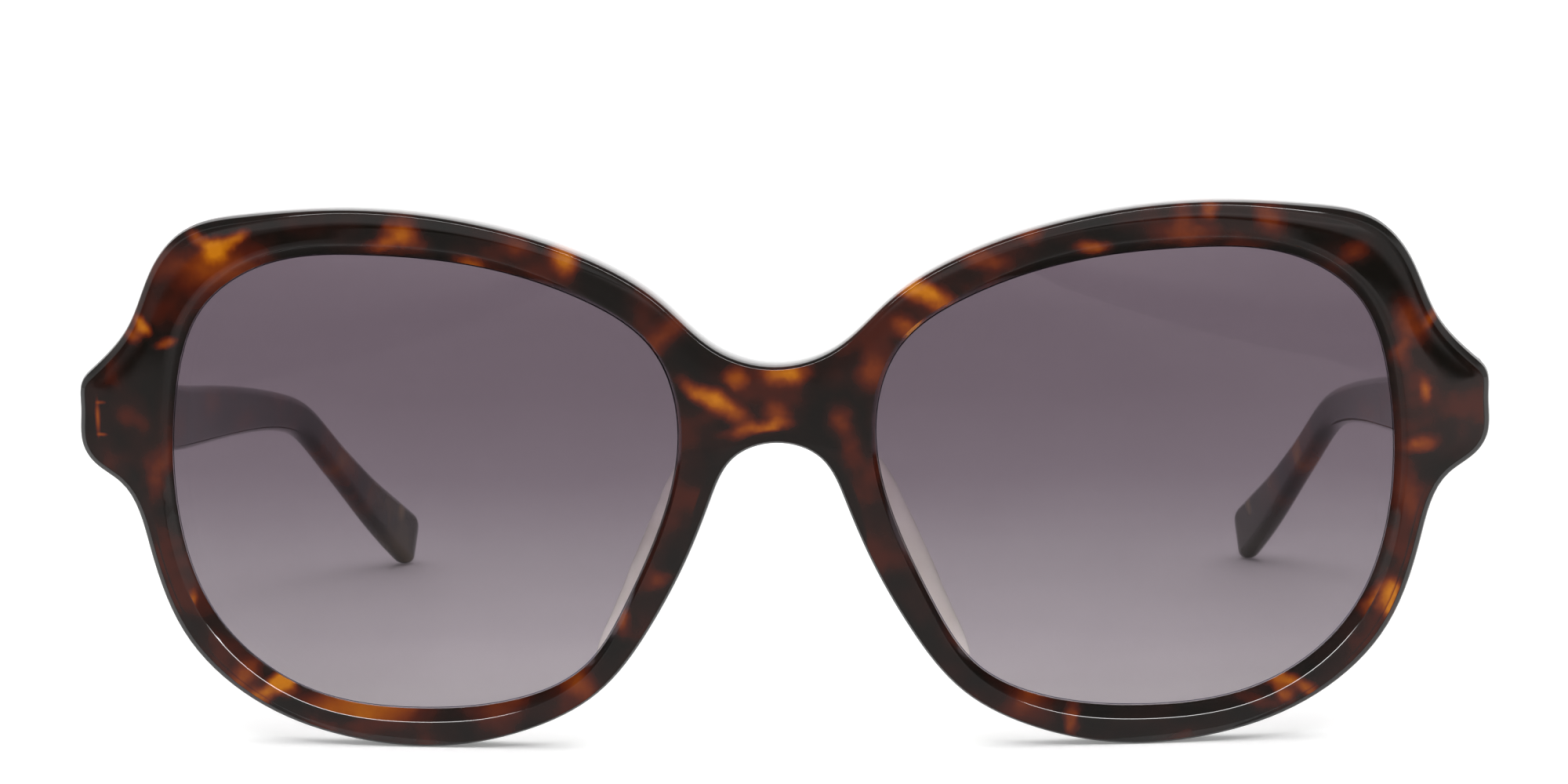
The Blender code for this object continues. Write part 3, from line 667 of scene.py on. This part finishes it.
# Amber patches in the front: (x, z, half width, half height, tilt in degrees clockwise, strength).
FLECKS = [
    (-56.4, 50.9, 1.2, 1.0, 20, 1.0), (-58.3, 52.1, 1.1, 0.6, -30, 0.6),
    (-54.2, 51.9, 1.1, 0.6, 30, 0.7), (-57.2, 49.3, 4.3, 2.0, 0, 0.45),
    (-64.6, 43.1, 0.6, 1.0, 40, 0.95), (-65.5, 42.0, 0.6, 0.8, 40, 0.6),
    (-61.9, 41.4, 1.0, 0.5, 10, 0.7), (-37.5, 52.5, 1.7, 1.1, 20, 0.6),
    (-39.3, 51.2, 1.8, 0.7, 0, 0.4), (-35.9, 51.5, 1.4, 0.9, -20, 0.4),
    (-25.2, 51.1, 1.2, 0.9, 0, 0.35), (-20.9, 50.0, 1.2, 1.6, 15, 0.95),
    (-63.7, 27.7, 1.1, 2.0, 0, 0.4), (-11.1, 42.0, 3.0, 1.1, 40, 0.4),
    (-6.2, 35.7, 3.0, 0.9, -32, 1.0), (-3.9, 37.9, 0.9, 0.9, 0, 0.6),
    (1.0, 38.4, 1.9, 1.0, 0, 1.0), (-1.9, 32.8, 2.6, 0.6, 10, 0.7),
    (0.0, 34.2, 1.1, 1.1, 0, 0.5), (6.4, 33.7, 1.1, 1.3, 0, 0.45),
    (9.6, 38.5, 1.2, 1.6, 0, 0.42), (7.3, 30.4, 1.0, 1.8, 0, 0.36),
    (14.6, 46.2, 3.0, 0.9, -25, 1.05), (12.9, 42.7, 0.9, 1.2, 40, 0.6),
    (20.9, 49.3, 2.0, 0.7, -15, 0.4), (31.5, 50.5, 1.4, 0.6, 0, 0.7),
    (25.2, 51.8, 1.2, 0.9, 0, 0.4), (40.2, 54.1, 0.9, 1.2, 0, 0.4),
    (42.8, 54.1, 0.9, 0.8, 0, 0.65), (41.0, 51.8, 2.4, 1.2, 0, 0.5),
    (49.0, 53.5, 1.2, 1.3, 0, 0.42), (57.5, 49.7, 1.4, 1.0, 10, 0.4),
    (63.4, 42.2, 1.5, 2.2, 20, 0.5), (65.9, 43.0, 0.5, 1.2, -45, 0.6),
    (62.4, 39.2, 0.8, 1.1, 0, 0.4), (64.8, 35.3, 0.5, 1.0, 0, 0.5),
    (64.5, 35.8, 1.6, 2.2, 0, 0.25), (64.6, 30.0, 1.4, 0.7, 15, 0.62),
    (61.0, 14.5, 0.9, 1.4, -15, 1.0), (61.8, 13.0, 0.7, 1.2, -15, 0.8),
    (62.0, 15.4, 0.8, 0.8, 0, 0.5), (52.8, 5.5, 1.6, 0.6, -28, 0.75),
    (51.0, 4.7, 0.9, 0.6, -20, 0.7), (48.4, 4.2, 1.6, 0.6, -15, 0.35),
    (29.3, 2.9, 0.7, 1.4, 0, 0.6), (24.7, 4.9, 2.0, 0.9, 20, 0.25),
    (-53.0, 5.5, 2.6, 0.9, 32, 0.9), (-55.0, 7.2, 1.7, 0.9, 45, 0.6),
    (-50.5, 6.1, 0.9, 0.8, 20, 0.6), (-12.0, 17.6, 1.1, 0.8, 0, 0.35),
    (-16.2, 14.0, 0.9, 1.7, 28, 0.68), (-20.5, 7.0, 2.4, 1.1, -35, 0.42),
    (-28.1, 4.3, 3.1, 1.1, 0, 0.2), (-41.9, 2.4, 4.7, 0.8, 5, 0.2),
    (18.5, 12.6, 1.9, 1.6, 50, 0.4), (8.5, 27.0, 1.1, 3.1, -20, 0.15),
    (-62.4, 31.6, 0.9, 3.1, 0, 0.2), (63.6, 24.2, 1.1, 3.1, 10, 0.24),
    (62.6, 19.2, 1.0, 2.0, 20, 0.3),
]
# Painted light: gold in the sloping wall inside the rims, standing for the light that comes through it.
WALL_LIGHT_FLECKS = [
    (-43.5, 4.2, 5.6, 1.6, 3, 0.72), (-50.5, 7.6, 2.0, 0.9, 35, 0.7),
    (-60.4, 14.8, 0.5, 1.0, -15, 0.55),
    (-27.0, 6.0, 1.6, 0.8, -15, 0.3), (26.0, 6.5, 1.4, 0.8, 20, 0.3), (17.0, 15.0, 0.9, 2.6, 25, 0.4),
    (50.0, 6.6, 1.6, 0.8, -30, 0.62), (59.6, 14.0, 0.8, 1.3, -20, 0.5),
    (14.0, 42.5, 2.0, 1.0, -40, 0.8), (-30.5, 49.3, 1.2, 0.6, 0, 0.5),
]
# Painted glow: the sunk plate of the hinge shows through the endpiece as a glowing bracket, painted into the
# colour of the wearer's right endpiece only.
PAINTED_PLATE_GLOW = [
    (-69.6, 33.6, 0.22, 1.5, 0, 0.55), (-69.2, 35.2, 0.45, 0.16, 0, 0.4),
    (-69.2, 31.9, 0.45, 0.16, 0, 0.5), (-66.4, 33.8, 1.0, 0.9, 0, 0.2),
    (-64.6, 33.0, 0.8, 0.8, 0, 0.2),
]
TORTOISE = [
    (0.0, (0.0062, 0.0052, 0.0042)), (0.14, (0.016, 0.0065, 0.0050)),
    (0.32, (0.056, 0.010, 0.005)), (0.50, (0.135, 0.024, 0.005)),
    (0.68, (0.235, 0.052, 0.004)), (0.86, (0.36, 0.105, 0.004)), (1.0, (0.46, 0.15, 0.006)),
]
NOSE_SHADE = (0.0, 20.0, 9.0, 12.7)  # x, z, half width and half height of a dark zone
ACETATE_IOR = 1.45
TEMPLE_IOR = 1.36
LENS_IOR = 1.3
PAD_IOR = 1.47
WALL_TILT = (-0.95, -0.80)  # the normal's y where a face starts and ends turning into a wall
EDGE_SHADE_HEIGHTS = (44.0, 38.0)  # between these heights painted shade comes onto the outer edge, which loses most of its patches
TIP_PALES = (126.0, 146.0)  # along the temple
LENS_TINT_HEIGHT = 50.0
LENS_EDGE_LIGHT_HEIGHTS = (22.0, 12.0)  # between these heights the lens's edge turns blue-grey: painted light on its lower part
PAD_GLOW = (0.1, 1.2)  # on the back of a pad, and on its lens side
# The lens's tint at shares of LENS_TINT_HEIGHT.
LENS_STOPS = [
    (0.0, (0.60, 0.57, 0.59)), (0.10, (0.588, 0.559, 0.576)), (0.236, (0.506, 0.474, 0.498)),
    (0.396, (0.447, 0.414, 0.440)), (0.556, (0.370, 0.331, 0.362)), (0.716, (0.339, 0.298, 0.329)),
    (0.876, (0.326, 0.285, 0.316)),
]


def polished(tree, colour, point):
    """Polished acetate: a colour under a nearly smooth surface."""
    shader = tree.shader
    tree.put(shader.inputs["Base Color"], colour)
    shader.inputs["IOR"].default_value = ACETATE_IOR
    rough = tree.ramp(tree.noise(point, 0.8), 0.3, 0.7, 0.045, 0.075)
    tree.put(shader.inputs["Roughness"], rough)
    tree.bumped(tree.noise(point, 0.12), 0.02)


def nose_shade(tree, point):
    """Less than 1 inside the dark zone beside the nose, with a fairly sharp boundary."""
    return tree.ramp(tree.ellipse(point, *NOSE_SHADE), 0.97, 1.01, 0.25, 1.0)


def sloping(tree, point):
    """1 on the wall round each opening, and how strongly the patches show on the outer edge, where they are
    taken away below the brow as painted shade.
    """
    normal = tree.add("SeparateXYZ", {0: tree.add("TexCoord").outputs["Normal"]})
    place = tree.add("SeparateXYZ", {0: point})
    tilted = tree.ramp(normal.outputs["Y"], *WALL_TILT)
    aside = tree.math("ABSOLUTE", place.outputs["X"])
    across = tree.math("SUBTRACT", aside, LENS_CENTRE[0])
    up = tree.math("SUBTRACT", place.outputs["Z"], LENS_CENTRE[1])
    sign = tree.math("SIGN", place.outputs["X"])
    outward = tree.math("MULTIPLY", tree.math("MULTIPLY", normal.outputs["X"], sign), across)
    outward = tree.math("ADD", outward, tree.math("MULTIPLY", normal.outputs["Z"], up))
    away = tree.ramp(outward, -0.5, 0.5)
    wall = tree.math("MULTIPLY", tilted, tree.math("SUBTRACT", 1.0, away))
    low = tree.ramp(place.outputs["Z"], *EDGE_SHADE_HEIGHTS, 0.0, 0.8)
    # Painted shade: the outer edge below the brow loses most of its patches.
    edge_shaded = tree.math("MULTIPLY", tree.math("MULTIPLY", tilted, away), low)
    return wall, tree.math("SUBTRACT", 1.0, edge_shaded)


def front_tortoise():
    """Dark acetate with amber patches and a red-brown haze between them, with gold painted in the walls for
    the light that comes through them.
    """
    tree = Tree("tortoise_front")
    point = tree.place()
    moved = tree.warped(tree.warped(point, 1.4, 0.3), 0.4, 1.2)
    heat = tree.flecks(moved, FLECKS)
    grain = tree.ramp(tree.noise(point, 0.7), 0.3, 0.7, 0.82, 0.98)
    heat = tree.math("MULTIPLY", heat, grain, clamp=True)
    haze = tree.ramp(tree.noise(moved, 0.13), 0.38, 0.68, 0.0, 0.28)
    heat = tree.math("ADD", heat, tree.math("MULTIPLY", haze, tree.math("SUBTRACT", 1.0, heat)))
    heat = tree.math("MULTIPLY", heat, nose_shade(tree, point))
    wall, edge_shade = sloping(tree, point)
    # Painted light: gold in the walls round the openings, for the light that comes through them.
    painted_wall_light = tree.math("MULTIPLY", tree.flecks(moved, WALL_LIGHT_FLECKS), wall)
    # Painted shade on the outer edge below the brow, by taking its patches away.
    heat = tree.math("ADD", tree.math("MULTIPLY", heat, edge_shade), painted_wall_light)
    # Painted glow where the hinge plate shows through the endpiece.
    heat = tree.math("ADD", heat, tree.flecks(point, PAINTED_PLATE_GLOW))
    polished(tree, tree.colours(heat, TORTOISE), point)
    return tree.material


# Patches in the temples: (y, z, half width, half height, tilt in degrees, strength).
TEMPLE_FLECKS = [
    (122.5, 17.6, 4.0, 3.0, 20, 0.55), (117.0, 21.0, 3.4, 2.0, 40, 0.36),
    (144.5, 8.0, 1.1, 0.9, 30, 0.7), (98.0, 28.0, 5.0, 1.0, 0, 0.3),
    (60.0, 30.5, 4.0, 1.6, 0, 0.5), (40.0, 29.5, 4.0, 1.6, 0, 0.4),
    (78.0, 26.8, 5.0, 1.2, 0, 0.35), (133.0, 11.5, 3.0, 1.6, 35, 0.3),
    (20.0, 34.0, 4.0, 2.0, 0, 0.45),
]


def temple_tortoise(word):
    """The same acetate, with patches placed along the temple and a pale greenish tip."""
    tree = Tree("tortoise_temple_" + word)
    point = tree.place()
    parts = tree.add("SeparateXYZ", {0: point})
    sideways = {0: parts.outputs["Y"], 1: parts.outputs["X"], 2: parts.outputs["Z"]}
    moved = tree.warped(tree.add("CombineXYZ", sideways).outputs[0], 2.0, 0.25)
    heat = tree.math("ADD", tree.flecks(moved, TEMPLE_FLECKS), 0.14)
    haze = tree.ramp(tree.noise(moved, 0.16, detail=3.0), 0.45, 0.75, 0.0, 0.3)
    heat = tree.math("ADD", heat, haze)
    colour = tree.colours(heat, TORTOISE)
    pale = tree.ramp(parts.outputs["Y"], *TIP_PALES, 0.0, 0.8)
    colour = tree.mix(pale, colour, tree.mix(heat, (0.032, 0.040, 0.030), (0.30, 0.26, 0.14)))
    polished(tree, colour, point)
    tree.shader.inputs["IOR"].default_value = TEMPLE_IOR
    return tree.material


def lens_tint(word):
    """Tinted glass, darkest at the top."""
    tree = Tree("lens_tint_" + word)
    point = tree.place()
    parts = tree.add("SeparateXYZ", {0: point})
    height = parts.outputs["Z"]
    faint = tree.ramp(tree.noise(point, 0.05), 0.3, 0.7, -0.4, 0.4)
    height = tree.math("ADD", height, faint)
    share = tree.math("DIVIDE", height, LENS_TINT_HEIGHT, clamp=True)
    tint = tree.colours(share, LENS_STOPS)
    clear = tree.add("BsdfTransparent", {"Color": tint}).outputs[0]
    gloss = tree.add("BsdfGlossy", {"Color": (1, 1, 1, 1), "Roughness": 0.015}).outputs[0]
    fresnel = tree.add("Fresnel", {"IOR": LENS_IOR}).outputs[0]
    mixed = tree.add("MixShader", {0: fresnel, 1: clear, 2: gloss}).outputs[0]
    tree.put(tree.output.inputs["Surface"], mixed)
    return tree.material


def lens_edge(word):
    """The bevelled edge of a lens, where the glass is seen along its depth, with painted light that makes
    its lower part pale blue-grey.
    """
    tree = Tree("lens_edge_" + word)
    point = tree.place()
    height = tree.add("SeparateXYZ", {0: point}).outputs["Z"]
    low = tree.ramp(tree.math("ADD", height, tree.noise(point, 0.2)), *LENS_EDGE_LIGHT_HEIGHTS)
    # Painted light: the lower part of the edge turns blue-grey.
    colour = tree.mix(low, (0.022, 0.018, 0.022), (0.10, 0.10, 0.17))
    tree.put(tree.shader.inputs["Base Color"], colour)
    tree.shader.inputs["Roughness"].default_value = 0.15
    return tree.material


def pad_acetate(word):
    """Clear acetate, which glows on its lens side where it carries light from behind."""
    tree = Tree("pad_acetate_" + word)
    point = tree.place()
    milk = tree.ramp(tree.noise(point, 0.3), 0.3, 0.7)
    colour = tree.mix(milk, (0.86, 0.86, 0.78), (0.92, 0.93, 0.86))
    shader = tree.shader
    tree.put(shader.inputs["Base Color"], colour)
    tree.put(shader.inputs["Emission Color"], colour)
    facing = tree.add("SeparateXYZ", {0: tree.add("TexCoord").outputs["Normal"]}).outputs["Y"]
    tree.put(shader.inputs["Emission Strength"], tree.ramp(facing, -0.05, -0.5, *PAD_GLOW))
    shader.inputs["Transmission Weight"].default_value = 0.3
    shader.inputs["IOR"].default_value = PAD_IOR
    shader.inputs["Roughness"].default_value = 0.12
    return tree.material


def metal(name, dark, light, low_rough, high_rough):
    """Metal with a fine grain that is finer up than across."""
    tree = Tree(name)
    point = tree.place()
    node = tree.add("Mapping", {"Vector": point})
    node.inputs["Scale"].default_value = (1, 1, 9)
    grain = tree.noise(node.outputs[0], 1.3, detail=4.0)
    tree.put(tree.shader.inputs["Base Color"], tree.mix(grain, dark, light))
    tree.put(tree.shader.inputs["Roughness"], tree.ramp(grain, 0.3, 0.7, low_rough, high_rough))
    tree.shader.inputs["Metallic"].default_value = 1.0
    return tree.material


def dress_metals():
    """The hinges, screws and core wires are shown as the CAD has them."""
    brass = metal("hinge_brass", (0.52, 0.42, 0.25), (0.66, 0.56, 0.36), 0.22, 0.34)
    steel = metal("screw_steel_look", (0.5, 0.5, 0.5), (0.66, 0.66, 0.67), 0.2, 0.3)
    wire = metal("core_wire_look", (0.5, 0.5, 0.48), (0.64, 0.64, 0.61), 0.3, 0.4)
    looks = (("front_hinge_", brass), ("temple_hinge_", brass), ("hinge_screw_", steel))
    for _, word in SIDES:
        for start, look in looks + (("core_wire_", wire),):
            mesh = frame["nodes"][start + word].data
            mesh.materials.clear()
            mesh.materials.append(look)


# ---------------------------------------------------------------- floor, light and camera


# Places and sizes here are in metres, in the row frame.
FLOOR_HALF = 3.0
FLOOR_FLAT_TO = 1.2
FLOOR_CURVE = 0.8
FLOOR_CURVE_STEPS = 16
CARD_HALF = 1.6
CARD_BACK = -0.0725
CARD_HEIGHT = 0.0006
FLAG_INNER = (0.175, 0.178)  # where each black flag starts, going outward, and is full
FLAG_OUTER = (0.30, 0.22)  # where it has ended, and where it starts to fade
FLAG_BACK = (-0.21, -0.24)
FRONT_OF_PIECE = (0, -0.07, 0.03)
BACKDROP = 1.15  # how bright the world is behind the object
CAMERA_PLACE = (0.017358, -0.485216, 0.071513)
CAMERA_TARGET = (0.000547, -0.0699, 0.035652)
CAMERA_ROLL = math.radians(-0.657)
CAMERA_LENS = 95.04  # in millimetres, as the sensor
CAMERA_SENSOR = 36.0


def build_floor():
    """A sheet that lies flat and curves up behind, to stand for a white studio floor."""
    profile = [(-FLOOR_HALF, 0.0), (FLOOR_FLAT_TO, 0.0)]
    for turn in np.linspace(0, math.pi / 2, FLOOR_CURVE_STEPS)[1:]:
        back = FLOOR_FLAT_TO + FLOOR_CURVE * math.sin(turn)
        profile.append((back, FLOOR_CURVE * (1 - math.cos(turn))))
    profile.append((FLOOR_FLAT_TO + FLOOR_CURVE, FLOOR_HALF))
    loops = [[(x * FLOOR_HALF, y, z) for x in (-1, -1 / 3, 1 / 3, 1)] for y, z in profile]
    points, faces = skin(loops, closed=False)
    mesh = bpy.data.meshes.new("floor")
    mesh.from_pydata(points.tolist(), [], faces)
    mesh.shade_smooth()
    floor = bpy.data.objects.new("floor", mesh)
    bpy.context.scene.collection.objects.link(floor)
    tree = Tree("white_floor")
    coordinates = tree.add("TexCoord").outputs["Object"]
    parts = tree.add("SeparateXYZ", {0: coordinates})
    speckle = tree.ramp(tree.noise(coordinates, 40.0), 0.3, 0.7)
    white = tree.mix(speckle, (0.9, 0.9, 0.9), (0.88, 0.88, 0.88))
    tree.put(tree.shader.inputs["Base Color"], white)
    tree.shader.inputs["Roughness"].default_value = 0.9
    tree.shader.inputs["Specular IOR Level"].default_value = 0.0
    tree.shader.inputs["Emission Color"].default_value = (1, 1, 1, 1)
    far = tree.ramp(parts.outputs["Y"], 0.1, 1.4, 0.2, 0.75)
    tree.put(tree.shader.inputs["Emission Strength"], far)
    mesh.materials.append(tree.material)


def build_reflection_card():
    """What the polished faces see of the studio in front: a grey sheet with two black flags."""
    mesh = bpy.data.meshes.new("reflection_card")
    corners = (
        (-CARD_HALF, -FLOOR_HALF), (CARD_HALF, -FLOOR_HALF), (CARD_HALF, CARD_BACK), (-CARD_HALF, CARD_BACK),
    )
    mesh.from_pydata([(x, y, CARD_HEIGHT) for x, y in corners], [], [(0, 1, 2, 3)])
    card = bpy.data.objects.new("reflection_card", mesh)
    bpy.context.scene.collection.objects.link(card)
    tree = Tree("card_grey")
    coordinates = tree.add("TexCoord").outputs["Object"]
    parts = tree.add("SeparateXYZ", {0: coordinates})
    aside = tree.math("ABSOLUTE", parts.outputs["X"])
    near = tree.ramp(parts.outputs["Y"], -0.34, -0.10, 0.24, 0.55)
    side = tree.ramp(parts.outputs["X"], 0.10, 0.17, 0.0, 0.35)
    far = tree.ramp(parts.outputs["Y"], -0.5, -1.3, 0.0, 0.55)
    strength = tree.math("ADD", tree.math("ADD", near, side), far)
    flag = tree.math("MULTIPLY", tree.ramp(aside, *FLAG_INNER), tree.ramp(aside, *FLAG_OUTER))
    flag = tree.math("MULTIPLY", flag, tree.ramp(parts.outputs["Y"], *FLAG_BACK))
    glow = tree.mix(flag, (1, 0.93, 0.93), (0.0, 0.0, 0.0))
    emission = tree.add("Emission", {"Color": glow, "Strength": strength}).outputs[0]
    tree.put(tree.output.inputs["Surface"], emission)
    mesh.materials.append(tree.material)
    for kind in ("camera", "diffuse", "transmission", "volume_scatter", "shadow"):
        setattr(card, "visible_" + kind, False)


def area_light(name, place, target, size, power):
    light = bpy.data.lights.new(name, "AREA")
    light.shape = "RECTANGLE"
    light.size, light.size_y = size
    light.energy = power
    lamp = bpy.data.objects.new(name, light)
    bpy.context.scene.collection.objects.link(lamp)
    lamp.location = place
    lamp.rotation_euler = (Vector(target) - Vector(place)).to_track_quat("-Z", "Y").to_euler()
    return lamp


def build_light():
    """Two soft lights that don't show in the gloss, and a strip that only shows there."""
    above = area_light("overhead", place=(0, 0, 1.3), target=(0, 0, 0), size=(2.2, 2.2), power=21.0)
    above.visible_glossy = False
    fill = area_light(
        "fill", place=(0.05, -0.9, 0.85), target=FRONT_OF_PIECE, size=(0.9, 0.3), power=4.0,
    )
    fill.visible_glossy = False
    strip = area_light(
        "strip", place=(0.0, -0.80, 0.72), target=FRONT_OF_PIECE, size=(1.3, 0.26), power=34.0,
    )
    strip.visible_diffuse = False


def build_world():
    """White all round for the camera. For the light, darker in front, where it is pale only below."""
    world = bpy.data.worlds.new("studio")
    world.use_nodes = True
    bpy.context.scene.world = world
    sky = Nodes(world.node_tree)
    parts = sky.add("SeparateXYZ", {0: sky.add("TexCoord").outputs["Generated"]})
    front = sky.ramp(parts.outputs["Z"], 0.30, 0.45, 0.80, 0.20)
    around = sky.ramp(parts.outputs["Y"], 0.2, 0.8, front, 0.95)
    seen = sky.add("LightPath").outputs["Is Camera Ray"]
    strength = sky.add("Mix", {0: seen, 2: around, 3: BACKDROP}).outputs[0]
    background = sky.nodes["Background"]
    sky.put(background.inputs["Strength"], strength)
    background.inputs["Color"].default_value = (1, 1, 1, 1)


def build_camera():
    """The camera looks at a point of the front from a little above and to the wearer's left."""
    place = Vector(CAMERA_PLACE)
    back = (place - Vector(CAMERA_TARGET)).normalized()
    right = Vector((0, 0, 1)).cross(back).normalized()
    up = back.cross(right)
    across = right * math.cos(CAMERA_ROLL) + up * math.sin(CAMERA_ROLL)
    above = up * math.cos(CAMERA_ROLL) - right * math.sin(CAMERA_ROLL)
    camera = bpy.data.cameras.new("camera")
    camera.sensor_width = CAMERA_SENSOR
    camera.lens = CAMERA_LENS
    camera.clip_start = 0.01
    holder = bpy.data.objects.new("camera", camera)
    bpy.context.scene.collection.objects.link(holder)
    holder.matrix_world = Matrix((
        (across.x, above.x, back.x, place.x),
        (across.y, above.y, back.y, place.y),
        (across.z, above.z, back.z, place.z),
        (0, 0, 0, 1),
    ))
    bpy.context.scene.camera = holder


def main():
    build_front(front_tortoise())
    for side, word in SIDES:
        build_lens(lens_tint(word), side, word)
        build_pad(pad_acetate(word), side, word)
        build_temple(temple_tortoise(word), side, word)
    dress_metals()
    build_floor()
    build_reflection_card()
    build_light()
    build_world()
    build_camera()
    bpy.context.scene.view_settings.view_transform = "Standard"


main()
